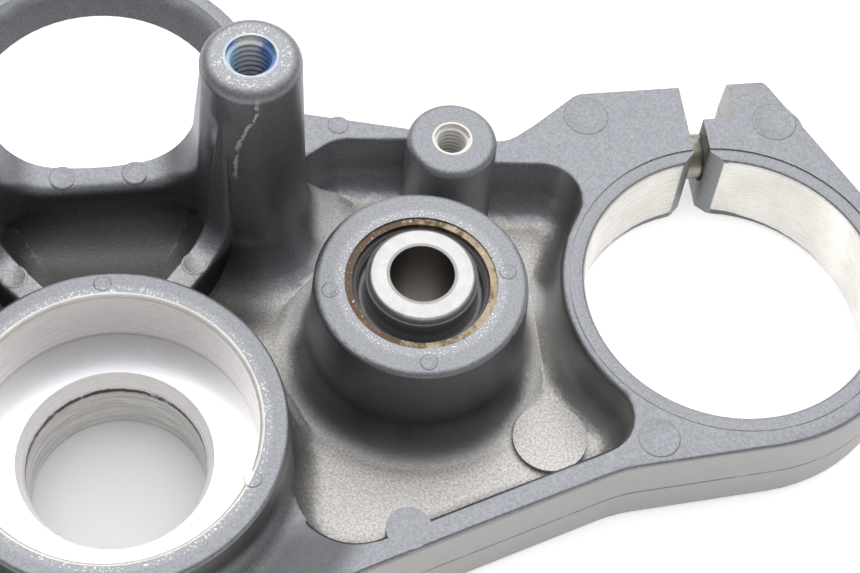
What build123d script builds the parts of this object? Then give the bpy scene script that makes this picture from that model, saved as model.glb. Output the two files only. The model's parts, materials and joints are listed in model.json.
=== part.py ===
from build123d import *

import os
from math import acos, atan2, cos, degrees, hypot, radians, sin, tan

# Upper fork clamp of a motorcycle, lying on its flat outer face with the ribbed side up.
# Millimetres. The stem axis is X = Y = 0, Z = 0 is the flat outer face, and the lock opening
# lies towards +Y. The right half (+X) is drawn and the left half mirrors it.

# Main layout
fork_spacing = 208.0
fork_offset = 21.6
bush_spacing = 101.4
post_spacing = 51.4
boss_spacing = 118.6
post_offset = 48.7
lock_offset = 77.1

# Casting heights
rim_height = 17.0
parting_height = 9.0
floor_thickness = 5.0
stem_height = 26.0
bush_height = 25.2
post_height = 52.0
boss_height = 26.0
lock_ring_height = 6.5
rib_height = 13.0

# Drafts of the casting, degrees
rim_draft = 4.5
skirt_draft = 1.5
pocket_draft = 4.0
boss_draft = 3.0
post_draft = 1.6
screw_boss_draft = 0.8

# Outer outline
nose_radius = 33.9
front_angle = 17.2
front_bend_x = 79.8
front_bend_radius = 25.0
fork_ring_radius = 30.7
ear_reach = 41.5
ear_outer_width = 14.2
ear_inner_width = 19.8
ear_slant_width = 8.3
ear_slant_depth = 5.9
back_waist_x = 70.2
back_waist_y = 53.7
back_angle = 14.6
back_end_x = 27.4
ear_corner_radius = 1.5
ear_shoulder_radius = 4.0
ear_root_radius = 3.0
back_waist_radius = 6.0
back_end_radius = 3.0
rim_chamfer = 0.6
skirt_chamfer = 1.2

# Pocket in the ribbed side
front_rim_width = 4.2
back_rim_width = 4.8
ring_wall = 4.1
pocket_corner_radius = 6.6
pocket_floor_radius = 5.4
pocket_end_x = 27.2
pocket_end_radius = 9.8
pocket_back_x = 41.0
pocket_back_angle = 6.0
pocket_jog = 2.6
lock_wall_thickness = 4.4
lock_wall_curve = 50.0
lock_wall_edge_radius = 2.0
pit_floor_radius = 9.5

# Stem boss and its bore
stem_boss_radius = 27.3
stem_edge_radius = 0.8
stem_foot_radius = 5.0
stem_ramp_radius = 4.5
stem_counterbore_radius = 22.85
stem_seat_height = 14.2
stem_bore_radius = 14.3
stem_leadin_radius = 15.6
stem_leadin_depth = 2.9
stem_chamfer = 0.6

# Fork clamps
fork_bore_radius = 25.0
fork_chamfer = 0.6
fork_step_width = 2.7
fork_step_depth = 0.25
slit_width = 3.0
slit_bevel = 2.4
ear_notch_width = 5.8
ear_notch_depth = 7.6
pinch_reach = 32.0
pinch_thread_radius = 4.0
pinch_thread_depth = 20.0
pinch_tip_gap = 1.0
pinch_clearance_radius = 4.5
pinch_seat_width = 12.0
pinch_head_radius = 6.5
pinch_head_height = 8.0
pinch_head_clearance = 0.6
pinch_socket_size = 6.0
pinch_socket_depth = 4.0
pinch_chamfer = 0.8
pinch_slack = 0.05

# Handlebar bushes
bush_boss_radius = 17.4
bush_edge_radius = 1.2
bush_foot_radius = 6.0
bush_recess_radius = 18.0
bush_recess_depth = 2.0
sleeve_radius = 12.4
sleeve_wall = 1.2
sleeve_inset = 0.3
press_gap = 0.02
collar_radius = 8.6
collar_bore_radius = 5.2
collar_stand = 2.5
collar_foot = 0.3
collar_chamfer = 0.5
rubber_inset = 1.2
rubber_coat = 0.5
rubber_groove_depth = 2.6
rubber_groove_width = 0.9

# Switch posts and screw bosses
post_radius = 8.1
post_edge_radius = 2.2
post_foot_radius = 10.0
post_hole_radius = 4.0
post_hole_depth = 24.0
web_corner_radius = 7.0
web_bite = 0.15
web_lean_start = 24.0
web_drop = 3.0
channel_half_width = 16.0
channel_draft = 3.1
channel_radius = 9.0
rib_width = 4.6
rib_top_width = 1.5
rib_edge_radius = 0.6
rib_end_angle = 75.0
rib_radius = 6.0
rib_reach = 11.0
rib_drop = 6.0
boss_radius = 7.6
boss_edge_radius = 1.4
boss_hole_radius = 3.0
boss_hole_depth = 13.0
drill_point_angle = 118.0

# Lock opening
lock_bore_radius = 23.2
lock_ring_wall = 2.8
lock_bevel = 4.0
lock_corner_radius = 5.0
lock_chamfer = 0.8

# Small cast details
bump_radius = 3.6
bump_x = 44.3
disc_radius = 6.2
disc_height = 0.9
disc_x = 70.8
disc_y = 1.5

# Places that follow from the layout
fork_x = fork_spacing / 2
bush_x = bush_spacing / 2
post_x = post_spacing / 2
boss_x = boss_spacing / 2
ear_y = fork_offset + ear_reach
pinch_y = fork_offset + pinch_reach
pinch_z = rim_height / 2
lock_wall_y = lock_offset - lock_bore_radius
pit_wall_y = lock_wall_y - lock_wall_thickness
lock_top_radius = lock_bore_radius + lock_bevel
lock_ring_radius = lock_top_radius + lock_ring_wall
web_top = post_height - web_drop
rib_top = post_height - rib_drop
rib_draft = degrees(atan2((rib_width - rib_top_width) / 2, rib_top - rib_height))
reach = 2 * fork_spacing
overcut = 1.0


def polar(radius, angle):
    """Point at a radius and an angle in degrees, about the origin."""
    return Vector(radius * cos(radians(angle)), radius * sin(radians(angle)))


def tangent_angle(center, radius, point, side):
    """Angle on a circle, in degrees, where a line from an outside point touches it."""
    away = point - center
    half_turn = acos(radius / hypot(away.X, away.Y))
    return degrees(atan2(away.Y, away.X) + side * half_turn)


def lifted(sketch, height):
    """A flat sketch moved up to a height."""
    return Pos(0, 0, height) * sketch


def both_sides(solid):
    """A solid of the right half together with its mirror image."""
    return solid + mirror(solid, about=Plane.YZ)


def revolved(points, rounded):
    """Solid of revolution about Z from (radius, height) points; rounded maps a point's index to a radius."""
    section = make_face(Polyline(*points, close=True))
    for index, radius in rounded.items():
        corner = Vector(*points[index])
        section = fillet(section.vertices().sort_by_distance(corner)[0], radius)
    return revolve(Plane.XZ * section, Axis.Z)


def boss(top_radius, top, base, draft, edge_radius, foot_radius):
    """Round drafted boss with a rounded top edge and a hollow foot that runs out on its base."""
    foot = top_radius + (top - base) * tan(radians(draft))
    points = [(0, 0), (foot + foot_radius, 0), (foot + foot_radius, base), (foot, base)]
    points += [(top_radius, top), (0, top)]
    return revolved(points, {3: foot_radius, 4: edge_radius})


fork_center = Vector(fork_x, fork_offset)
post_center = Vector(post_x, post_offset)
nose_touch = polar(nose_radius, front_angle - 90)
front_slope = tan(radians(front_angle))
back_slope = -tan(radians(back_angle))
front_bend = Vector(front_bend_x, nose_touch.Y + (front_bend_x - nose_touch.X) * front_slope)
back_waist = Vector(back_waist_x, back_waist_y)
ring_inner_radius = fork_bore_radius + ring_wall


def line_y(point, slope, x):
    """Height of a sloped line through a point, at x."""
    return point.Y + (x - point.X) * slope


def outline():
    """Outer outline of the clamp at the top of its rim."""
    ear_corner = Vector(fork_x + ear_outer_width, ear_y)
    front_touch = tangent_angle(fork_center, fork_ring_radius, front_bend, 1)
    ear_touch = tangent_angle(fork_center, fork_ring_radius, ear_corner, -1)
    inner_corner = Vector(fork_x - ear_inner_width, ear_y)
    ear_root = inner_corner - Vector(ear_slant_width, ear_slant_depth)
    back_corner = Vector(back_end_x, line_y(back_waist, back_slope, back_end_x))
    nose = ThreePointArc((0, -nose_radius), polar(nose_radius, front_angle / 2 - 90), nose_touch)
    front_end = fork_center + polar(fork_ring_radius, front_touch)
    front = FilletPolyline(nose_touch, front_bend, front_end, radius=front_bend_radius)
    ring_middle = fork_center + polar(fork_ring_radius, (front_touch + ear_touch) / 2)
    ring_end = fork_center + polar(fork_ring_radius, ear_touch)
    ring = ThreePointArc(front_end, ring_middle, ring_end)
    back_points = [ring_end, ear_corner, inner_corner, ear_root, back_waist, back_corner]
    back_points.append((0, back_corner.Y))
    back_radii = [ear_corner_radius, ear_shoulder_radius, ear_root_radius, back_waist_radius, back_end_radius]
    back = FilletPolyline(*back_points, radius=back_radii)
    right = [*nose.edges(), *front.edges(), *ring.edges(), *back.edges()]
    return make_face(right + [edge.mirror(Plane.YZ) for edge in right])


def round_corner(point, slope, side, ring_center, ring_radius, radius):
    """Hollow corner between a straight edge and the outside of a ring: touch points and arc middle.

    side is 1 where the hollow lies above the edge and -1 where it lies below.
    """
    tilt = atan2(slope, 1)
    normal = Vector(-sin(tilt), cos(tilt)) * side
    start = point + normal * radius
    along = Vector(cos(tilt), sin(tilt))
    to_ring = ring_center - start
    gap = ring_radius + radius
    near = to_ring.dot(along)
    across = (to_ring - along * near).length
    center = start + along * (near - (gap ** 2 - across ** 2) ** 0.5)
    out = (ring_center - center).normalized()
    on_edge = center - normal * radius
    on_ring = center + out * radius
    middle = center + (out - normal).normalized() * radius
    return on_edge, middle, on_ring


def pocket():
    """Outline of the pocket in the ribbed side, at the top of the rim."""
    front_inset = Vector(0, front_rim_width / cos(radians(front_angle)))
    back_inset = Vector(0, back_rim_width)
    front_edge = front_bend + front_inset
    back_edge = back_waist - back_inset
    slope = -tan(radians(pocket_back_angle))
    ring = (fork_center, ring_inner_radius, pocket_corner_radius)
    back_line, back_middle, back_ring = round_corner(back_edge, slope, -1, *ring)
    front_line, front_middle, front_ring = round_corner(front_edge, front_slope, 1, *ring)
    wall_y = (pit_wall_y + lock_wall_y) / 2
    stem_side = Vector(pocket_end_x, line_y(front_edge, front_slope, pocket_end_x))
    behind_post = Vector(pocket_back_x, line_y(back_edge, back_slope, pocket_back_x))
    jog_start, jog_end = boss_x - pocket_jog, boss_x + pocket_jog
    before_boss = Vector(jog_start, line_y(behind_post, slope, jog_start))
    after_boss = Vector(jog_end, line_y(back_edge, slope, jog_end))
    back_points = [(0, wall_y), post_center, behind_post, before_boss, after_boss, back_line]
    back = FilletPolyline(*back_points, radius=[0] + [pocket_corner_radius] * 3)
    back_arc = ThreePointArc(back_line, back_middle, back_ring)
    ring_middle = fork_center - Vector(ring_inner_radius, 0)
    ring_arc = ThreePointArc(back_ring, ring_middle, front_ring)
    front_arc = ThreePointArc(front_ring, front_middle, front_line)
    front = FilletPolyline(front_line, stem_side, (pocket_end_x, 0), (0, 0), radius=[pocket_end_radius, 0])
    right = []
    for piece in (back, back_arc, ring_arc, front_arc, front):
        right += piece.edges()
    return make_face(right + [edge.mirror(Plane.YZ) for edge in right])


def plate():
    """Rim, skirt and floor of the casting, with the pocket cut in it."""
    rim = extrude(lifted(outline(), rim_height), parting_height - rim_height, taper=-rim_draft)
    parting_face = rim.faces().sort_by(Axis.Z)[0]
    skirt = extrude(parting_face, parting_height, dir=(0, 0, -1), taper=skirt_draft)
    hollow = extrude(lifted(pocket(), rim_height), floor_thickness - rim_height, taper=pocket_draft)
    hollow = fillet(hollow.faces().sort_by(Axis.Z)[0].edges(), pocket_floor_radius)
    solid = chamfer((rim + skirt).edges().filter_by_position(Axis.Z, 0, 0), skirt_chamfer)
    solid -= hollow
    return chamfer(solid.faces().sort_by(Axis.Z)[-1].edges(), rim_chamfer)


def lock_ring():
    """Low ring of the lock opening, bevelled on its inner edge."""
    edge = lock_chamfer
    points = [(lock_bore_radius, 0), (lock_ring_radius - edge, 0), (lock_ring_radius, edge)]
    points += [(lock_ring_radius, lock_ring_height - edge), (lock_ring_radius - edge, lock_ring_height)]
    points += [(lock_top_radius, lock_ring_height), (lock_top_radius, lock_bevel)]
    return Pos(0, lock_offset) * revolved(points, {})


def lock_cut():
    """Space above the lock ring: round, with a flatter curve at the wall between the posts."""
    wall_side = Pos(0, lock_wall_y + lock_wall_curve) * Circle(lock_wall_curve)
    space = Pos(0, lock_offset) * Circle(lock_top_radius) & wall_side
    upper = extrude(lifted(space, lock_bevel), reach)
    upper = fillet(upper.edges().filter_by(Axis.Z).sort_by(Axis.Y)[:2], lock_corner_radius)
    lower = extrude(Pos(0, lock_offset, -overcut) * Circle(lock_bore_radius), lock_bevel + overcut)
    return upper + lower


def stem_boss():
    """Stem boss with its foot in the pocket, and its ramp on the rim in front."""
    draft = boss_draft
    pillar = boss(stem_boss_radius, stem_height, floor_thickness, draft, stem_edge_radius, stem_foot_radius)
    ramp = boss(stem_boss_radius, stem_height, rim_height, draft, stem_edge_radius, stem_ramp_radius)
    front_zone = extrude(outline() - pocket(), stem_height)
    return pillar + (ramp & front_zone)


def stem_cut():
    """Bore of the stem: counterbore, flat seat, lead-in cone and through hole."""
    leadin_end = stem_seat_height - stem_leadin_depth
    mouth = stem_counterbore_radius + stem_chamfer
    points = [(0, -overcut), (stem_bore_radius, -overcut), (stem_bore_radius, leadin_end)]
    points += [(stem_leadin_radius, stem_seat_height), (stem_counterbore_radius, stem_seat_height)]
    points += [(stem_counterbore_radius, stem_height - stem_chamfer), (mouth, stem_height)]
    points += [(mouth, stem_height + overcut), (0, stem_height + overcut)]
    return revolved(points, {})


def bush_boss():
    """Boss around one handlebar bush."""
    draft = boss_draft
    pillar = boss(bush_boss_radius, bush_height, floor_thickness, draft, bush_edge_radius, bush_foot_radius)
    return Pos(bush_x, fork_offset) * pillar


def bush_cut():
    """Bore of one handlebar bush and the round recess under it."""
    radius = sleeve_radius + press_gap
    points = [(0, -overcut), (bush_recess_radius, -overcut), (bush_recess_radius, bush_recess_depth)]
    points += [(radius, bush_recess_depth), (radius, bush_height + overcut), (0, bush_height + overcut)]
    return Pos(bush_x, fork_offset) * revolved(points, {})


def drilled(radius, top, depth):
    """Blind drilled hole with a pointed end, open above its top."""
    point = radius / tan(radians(drill_point_angle / 2))
    end = top - depth
    points = [(0, end - point), (radius, end), (radius, top + overcut), (0, top + overcut)]
    return revolved(points, {})


def switch_post():
    """Tall post of the lock switch; its wide foot runs out on the pocket floor."""
    pillar = boss(post_radius, post_height, floor_thickness, post_draft, post_edge_radius, post_foot_radius)
    foot_zone = extrude(pocket(), post_height)
    straight = boss(post_radius, post_height, floor_thickness, post_draft, post_edge_radius, overcut)
    return (Pos(post_center) * pillar & foot_zone) + Pos(post_center) * straight


def channel_cut():
    """Channel between the posts down to the rim; its sides curve up from the lock wall."""
    top = post_height + overcut
    side_x = channel_half_width + (top - rim_height) * tan(radians(channel_draft))
    lower = [(-channel_half_width, rim_height), (channel_half_width, rim_height)]
    section = make_face(Polyline((-side_x, top), *lower, (side_x, top), close=True))
    for point in lower:
        section = fillet(section.vertices().sort_by_distance(Vector(*point))[0], channel_radius)
    return extrude(Plane.XZ * section, reach, both=True)


def lean_cut():
    """Space behind the webs, whose backs lean towards the posts as they rise."""
    back_y = post_offset + post_radius
    points = [(pit_wall_y, web_top), (back_y, web_lean_start), (reach, web_lean_start), (reach, web_top)]
    return extrude(Plane.YZ * make_face(Polyline(*points, close=True)), reach, both=True)


def post_web():
    """Wall beside the lock opening: it curves up into both posts and has a soft edge to the pocket."""
    slope = tan(radians(post_draft))
    foot_radius = post_radius + (post_height - floor_thickness) * slope
    foot_y = pit_wall_y - (rim_height - floor_thickness) * slope
    back_y = post_offset + post_radius
    corner = round_corner(Vector(0, foot_y), 0, -1, post_center, foot_radius - web_bite, web_corner_radius)
    front = Line((0, foot_y), corner[0])
    hollow = ThreePointArc(*corner)
    rest = Polyline(corner[2], post_center, (post_x, back_y), (0, back_y))
    right = [*front.edges(), *hollow.edges(), *rest.edges()]
    plan = make_face(right + [edge.mirror(Plane.YZ) for edge in right])
    solid = extrude(lifted(plan, floor_thickness), web_top - floor_thickness, taper=post_draft)
    solid -= channel_cut()
    pit_edge = solid.edges().sort_by_distance((0, pit_wall_y, rim_height))[0]
    return fillet(pit_edge, lock_wall_edge_radius) - lean_cut()


def pit_cove():
    """Hollow floor in front of the lock wall."""
    top = floor_thickness + pit_floor_radius
    wall_y = pit_wall_y - (rim_height - top) * tan(radians(post_draft))
    front_y = wall_y - pit_floor_radius
    hollow = TangentArc((front_y, floor_thickness), (wall_y, top), tangent=(1, 0))
    rest = Polyline((wall_y, top), (lock_wall_y, top), (lock_wall_y, 0), (front_y, 0), (front_y, floor_thickness))
    return extrude(Plane.YZ * make_face([*hollow.edges(), *rest.edges()]), post_x, both=True)


def lock_rib():
    """Rib from the stem boss that curves up the front of one post and narrows as it rises."""
    end = polar(stem_boss_radius, rib_end_angle)
    run = post_center - end
    length = run.length
    points = [(0, 0), (0, rib_height), (length - rib_reach, rib_height)]
    points += [(length - post_radius, rib_top), (length, rib_top), (length, 0)]
    side = make_face(Polyline(*points, close=True))
    side = fillet(side.vertices().sort_by_distance(Vector(*points[2]))[0], rib_radius)
    foot_width = rib_width + 2 * rib_height * tan(radians(rib_draft))
    footprint = Rectangle(length, foot_width, align=(Align.MIN, Align.CENTER))
    rib = extrude(footprint, rib_top, taper=rib_draft) & extrude(Plane.XZ * side, foot_width, both=True)
    rib = fillet([edge for edge in rib.edges() if is_rib_edge(edge)], rib_edge_radius)
    return Pos(end) * Rot(0, 0, degrees(atan2(run.Y, run.X))) * rib


def is_rib_edge(edge):
    """Whether an edge of the rib runs along its top, on one flank."""
    start, finish = edge @ 0, edge @ 1
    return min(start.Z, finish.Z) > rib_height - overcut and start.Y * finish.Y > 0


def screw_boss():
    """Boss of the small screw on the back rim."""
    foot = boss_radius + (boss_height - floor_thickness) * tan(radians(screw_boss_draft))
    points = [(0, floor_thickness), (foot, floor_thickness), (boss_radius, boss_height), (0, boss_height)]
    return Pos(boss_x, post_offset) * revolved(points, {2: boss_edge_radius})


def small_details():
    """Half-round bump on the front rim and flat disc on the pocket floor."""
    slope_y = line_y(front_bend, front_slope, bump_x) + front_rim_width
    bump = extrude(Pos(bump_x, slope_y) * Circle(bump_radius), rim_height)
    disc = extrude(Pos(disc_x, disc_y) * Circle(disc_radius), floor_thickness + disc_height)
    return bump + disc


def fork_cut():
    """Bore of one fork clamp with its chamfers, top step, slit, notch and pinch screw holes."""
    radius = fork_bore_radius
    mouth = radius + fork_chamfer
    step = radius + fork_step_width
    step_height = rim_height - fork_step_depth
    points = [(0, -overcut), (mouth, -overcut), (mouth, 0), (radius, fork_chamfer)]
    points += [(radius, step_height - fork_chamfer), (mouth, step_height), (step, step_height)]
    points += [(step, rim_height + overcut), (0, rim_height + overcut)]
    cut = Pos(fork_center) * revolved(points, {})
    slit_side = (Align.CENTER, Align.MIN, Align.CENTER)
    cut += Pos(fork_x, fork_offset, pinch_z) * Box(slit_width, reach, reach, align=slit_side)
    notch_side = (Align.MIN, Align.MIN, Align.CENTER)
    notch = Box(slit_width / 2 + ear_notch_width, reach, reach, align=notch_side)
    cut += Pos(fork_x, ear_y - ear_notch_depth, pinch_z) * notch
    mouth_y = fork_offset + (radius ** 2 - (slit_width / 2 + slit_bevel) ** 2) ** 0.5
    bevel = Polyline(
        (fork_x - slit_width / 2 - slit_bevel, mouth_y),
        (fork_x, mouth_y + slit_bevel + slit_width / 2),
        (fork_x + slit_width / 2 + slit_bevel, mouth_y),
        close=True,
    )
    cut += extrude(make_face(bevel), rim_height)
    axis = Plane(origin=(fork_x, pinch_y, pinch_z), x_dir=(0, 1, 0), z_dir=(1, 0, 0))
    thread = pinch_thread_radius + pinch_slack
    cut += extrude(axis * Circle(thread), -(slit_width / 2 + pinch_thread_depth))
    cut += extrude(axis * Circle(pinch_clearance_radius), pinch_seat_width + overcut)
    seat = axis.offset(pinch_seat_width)
    cut += extrude(seat * Circle(pinch_head_radius + pinch_head_clearance), reach)
    return cut


def casting():
    """The whole cast and machined clamp."""
    solid = plate() + lock_ring()
    solid += stem_boss()
    solid += both_sides(bush_boss() + screw_boss() + small_details())
    solid += post_web() + pit_cove()
    solid += both_sides(switch_post() + lock_rib())
    solid -= lock_cut()
    solid -= stem_cut()
    holes = fork_cut() + bush_cut()
    holes += Pos(post_x, post_offset) * drilled(post_hole_radius, post_height, post_hole_depth)
    holes += Pos(boss_x, post_offset) * drilled(boss_hole_radius, boss_height, boss_hole_depth)
    return solid - both_sides(holes)


def bush_sleeve():
    """Thin outer sleeve of a handlebar bush."""
    inner = sleeve_radius - sleeve_wall
    points = [(inner, bush_recess_depth), (sleeve_radius, bush_recess_depth)]
    points += [(sleeve_radius, bush_height - sleeve_inset), (inner, bush_height - sleeve_inset)]
    return Pos(bush_x, fork_offset) * revolved(points, {})


def bush_rubber():
    """Rubber ring of a handlebar bush: at both ends a groove runs round between the collar and the lip."""
    inner = collar_radius + press_gap
    outer = sleeve_radius - sleeve_wall - press_gap
    half = (bush_height - bush_recess_depth) / 2
    lip = half - rubber_inset
    groove = lip - rubber_groove_depth
    coat = half + collar_stand - rubber_inset
    coat_radius = inner + rubber_coat
    upper = [(outer, lip), (outer - rubber_coat, lip), (coat_radius + rubber_groove_width, groove)]
    upper += [(coat_radius, groove), (coat_radius, coat), (inner, coat)]
    lower = [(radius, -height) for radius, height in reversed(upper)]
    return Pos(bush_x, fork_offset, bush_recess_depth + half) * revolved(upper + lower, {})


def bush_collar():
    """Inner collar of a handlebar bush."""
    top = bush_height + collar_stand
    edge = collar_chamfer
    points = [(collar_bore_radius, collar_foot), (collar_radius - edge, collar_foot)]
    points += [(collar_radius, collar_foot + edge), (collar_radius, top - edge), (collar_radius - edge, top)]
    points += [(collar_bore_radius, top)]
    return Pos(bush_x, fork_offset) * revolved(points, {})


def pinch_bolt():
    """Socket head screw across the slit of a fork clamp."""
    seat = pinch_seat_width
    tip = pinch_thread_depth + slit_width / 2 - pinch_tip_gap
    head_top = seat + pinch_head_height
    edge = pinch_chamfer
    points = [(0, -tip), (pinch_thread_radius - edge, -tip), (pinch_thread_radius, edge - tip)]
    points += [(pinch_thread_radius, seat), (pinch_head_radius, seat), (pinch_head_radius, head_top - edge)]
    points += [(pinch_head_radius - edge, head_top), (0, head_top)]
    screw = revolved(points, {})
    socket = RegularPolygon(pinch_socket_size / 2, 6, major_radius=False)
    screw -= extrude(lifted(socket, head_top - pinch_socket_depth), reach)
    return Pos(fork_x, pinch_y, pinch_z) * Rot(0, 90, 0) * screw


os.makedirs("parts", exist_ok=True)
nodes = {"clamp_casting": casting()}
right_pieces = {
    "bush_sleeve": bush_sleeve(),
    "bush_rubber": bush_rubber(),
    "bush_collar": bush_collar(),
    "pinch_bolt": pinch_bolt(),
}
for name, solid in right_pieces.items():
    nodes["right_" + name] = solid
    nodes["left_" + name] = mirror(solid, about=Plane.YZ)
for name, solid in nodes.items():
    export_step(solid, "parts/" + name + ".step")
    print(name, "volume", round(solid.volume, 1), "solids", len(solid.solids()))
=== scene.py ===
import json
from math import pi, radians
from types import SimpleNamespace

import bpy
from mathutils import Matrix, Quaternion, Vector


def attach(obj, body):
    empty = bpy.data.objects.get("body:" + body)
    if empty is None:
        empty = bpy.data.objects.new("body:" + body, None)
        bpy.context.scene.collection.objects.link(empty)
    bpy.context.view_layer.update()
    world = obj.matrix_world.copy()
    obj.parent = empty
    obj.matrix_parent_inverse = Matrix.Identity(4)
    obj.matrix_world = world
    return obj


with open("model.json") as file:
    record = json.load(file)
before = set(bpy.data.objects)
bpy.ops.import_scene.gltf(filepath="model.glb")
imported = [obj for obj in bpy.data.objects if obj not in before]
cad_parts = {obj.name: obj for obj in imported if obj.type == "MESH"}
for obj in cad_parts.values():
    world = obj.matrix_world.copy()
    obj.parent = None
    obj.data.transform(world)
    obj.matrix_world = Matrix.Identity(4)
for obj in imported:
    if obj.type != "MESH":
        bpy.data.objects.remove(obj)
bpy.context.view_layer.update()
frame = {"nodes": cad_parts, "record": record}  # nine nodes in metres, all on the body "root"
mounts = {mount["name"]: mount for mount in frame["record"]["mounts"]}
mm = 0.001  # sizes below are in millimetres
print("frame loaded:", len(frame["nodes"]), "nodes")

levels = {  # heights of the casting's flat faces
    "rim": 17.0,
    "rib": 13.0,
    "bush": 25.2,
    "stem": 26.0,
    "post": 52.0,
    "screwBoss": 26.0,
}


def mountPlace(name):  # in metres
    return Vector(mounts[name]["pos_m"])


def mountRadius(name):  # in millimetres
    return mounts[name]["dims"]["r_mm"]


stemPlace = mountPlace("stem_bore")
forkPlace = mountPlace("right_fork_clamp")
bushPlace = mountPlace("right_handlebar_bore")
postPlace = mountPlace("right_switch_screw")
screwPlace = mountPlace("right_small_screw")
stemRadius = mountRadius("stem_bore")
recessRadius = mountRadius("stem_counterbore")
forkRadius = mountRadius("right_fork_clamp")
collarRadius = mountRadius("right_handlebar_bore")
postRadius = mountRadius("right_switch_screw")
screwRadius = mountRadius("right_small_screw")


# Short ways to add and join shader nodes

def put(tree, socket, value):
    if isinstance(value, bpy.types.NodeSocket):
        tree.links.new(value, socket)
    else:
        socket.default_value = value


def newMaterial(name):
    material = bpy.data.materials.new(name)
    material.use_nodes = True
    tree = material.node_tree
    coords = tree.nodes.new("ShaderNodeTexCoord").outputs["Object"]
    return material, tree, tree.nodes["Principled BSDF"], coords


def calc(tree, operation, first, second=0.0, third=0.0):
    node = tree.nodes.new("ShaderNodeMath")
    node.operation = operation
    for socket, value in zip(node.inputs, (first, second, third)):
        put(tree, socket, value)
    return node.outputs[0]


def product(tree, *shares):
    total = shares[0]
    for share in shares[1:]:
        total = calc(tree, "MULTIPLY", total, share)
    return total


def largest(tree, *shares):
    total = shares[0]
    for share in shares[1:]:
        total = calc(tree, "MAXIMUM", total, share)
    return total


def inverse(tree, share):
    return calc(tree, "SUBTRACT", 1.0, share)


def fade(tree, value, start, end):  # 0 before start, 1 past end, whichever way round they lie
    node = tree.nodes.new("ShaderNodeMapRange")
    node.interpolation_type = "SMOOTHSTEP"
    put(tree, node.inputs["Value"], value)
    node.inputs["From Min"].default_value = start
    node.inputs["From Max"].default_value = end
    return node.outputs["Result"]


def fadeMm(tree, value, span, origin=0.0):  # the span and its origin in millimetres
    return fade(tree, value, (origin + span[0]) * mm, (origin + span[1]) * mm)


def bandMm(tree, value, start, end, soft, origin=0.0):  # 1 between two values
    rise = fadeMm(tree, value, (start - soft, start + soft), origin)
    return product(tree, rise, fadeMm(tree, value, (end + soft, end - soft), origin))


def nearLine(tree, value, place, width):  # 1 on a line at a value, 0 past its outer width
    gap = calc(tree, "ABSOLUTE", calc(tree, "SUBTRACT", value, place * mm))
    return fadeMm(tree, gap, width)


def between(tree, factor, low, high):  # runs from low to high as factor goes from 0 to 1
    node = tree.nodes.new("ShaderNodeMix")
    put(tree, node.inputs[0], factor)
    put(tree, node.inputs[2], low)
    put(tree, node.inputs[3], high)
    return node.outputs[0]


def tint(tree, factor, first, second):
    node = tree.nodes.new("ShaderNodeMix")
    node.data_type = "RGBA"
    put(tree, node.inputs[0], factor)
    for socket, colour in ((node.inputs[6], first), (node.inputs[7], second)):
        put(tree, socket, colour if isinstance(colour, bpy.types.NodeSocket) else (*colour, 1.0))
    return node.outputs[2]


def speckle(tree, coords, size, detail=2.0, roughness=0.5):  # size of one speck in millimetres
    node = tree.nodes.new("ShaderNodeTexNoise")
    put(tree, node.inputs["Vector"], coords)
    node.inputs["Scale"].default_value = 1.0 / (size * mm)
    node.inputs["Detail"].default_value = detail
    node.inputs["Roughness"].default_value = roughness
    return node.outputs["Fac"]


def stretched(tree, coords, scale):
    node = tree.nodes.new("ShaderNodeMapping")
    put(tree, node.inputs["Vector"], coords)
    node.inputs["Scale"].default_value = scale
    return node.outputs["Vector"]


def splitPlace(tree, coords):  # X, Y and Z
    node = tree.nodes.new("ShaderNodeSeparateXYZ")
    put(tree, node.inputs[0], coords)
    return node.outputs[0], node.outputs[1], node.outputs[2]


def axisDistance(tree, x, y, place):
    dx = calc(tree, "SUBTRACT", x, place.x)
    dy = calc(tree, "SUBTRACT", y, place.y)
    squares = calc(tree, "ADD", calc(tree, "MULTIPLY", dx, dx), calc(tree, "MULTIPLY", dy, dy))
    return calc(tree, "SQRT", squares)


def addBump(tree, surface, height, depth):  # depth in millimetres
    node = tree.nodes.new("ShaderNodeBump")
    node.inputs["Distance"].default_value = depth * mm
    put(tree, node.inputs["Height"], height)
    tree.links.new(node.outputs["Normal"], surface.inputs["Normal"])


# Fine-grained grey paint on the casting. A pair gives where a tone starts and where it is full.
# Entries that end in Up, Back or Outward tell which way a face points, from -1 to 1.

paintFinish = {
    "dark": (0.226, 0.232, 0.246),
    "light": (0.315, 0.323, 0.343),
    "grainSize": 0.42,
    "grainDepth": 0.05,
    "mottleSize": 3.5,
    "mottleShare": 0.12,
    "toneRange": (0.3, 0.7),
    "roughness": (0.40, 0.50),
    "metal": 0.92,
    "flatUp": (0.8, 0.95),
    "steepUp": (0.4, 0.25),
    "frontLine": (-35.5, 0.31),  # Y of the front edge at the middle, and its slope
    "frontWidth": (5.0, 4.0),
    "ringWall": (4.4, 5.2),  # past the fork bore
    "ringOuter": (-4.0, 0.0),  # from the fork axis
}


def outsideShare(tree, spot):  # the outer walls in front and around the fork rings
    start, slope = paintFinish["frontLine"]
    frontGap = calc(tree, "SUBTRACT", calc(tree, "MULTIPLY_ADD", spot.wide, -slope, spot.y), start * mm)
    front = fadeMm(tree, frontGap, paintFinish["frontWidth"])
    ring = product(tree, fadeMm(tree, spot.forkAway, paintFinish["ringWall"], forkRadius),
                   fadeMm(tree, spot.wide, paintFinish["ringOuter"], forkPlace.x / mm))
    return largest(tree, front, ring)


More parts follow.
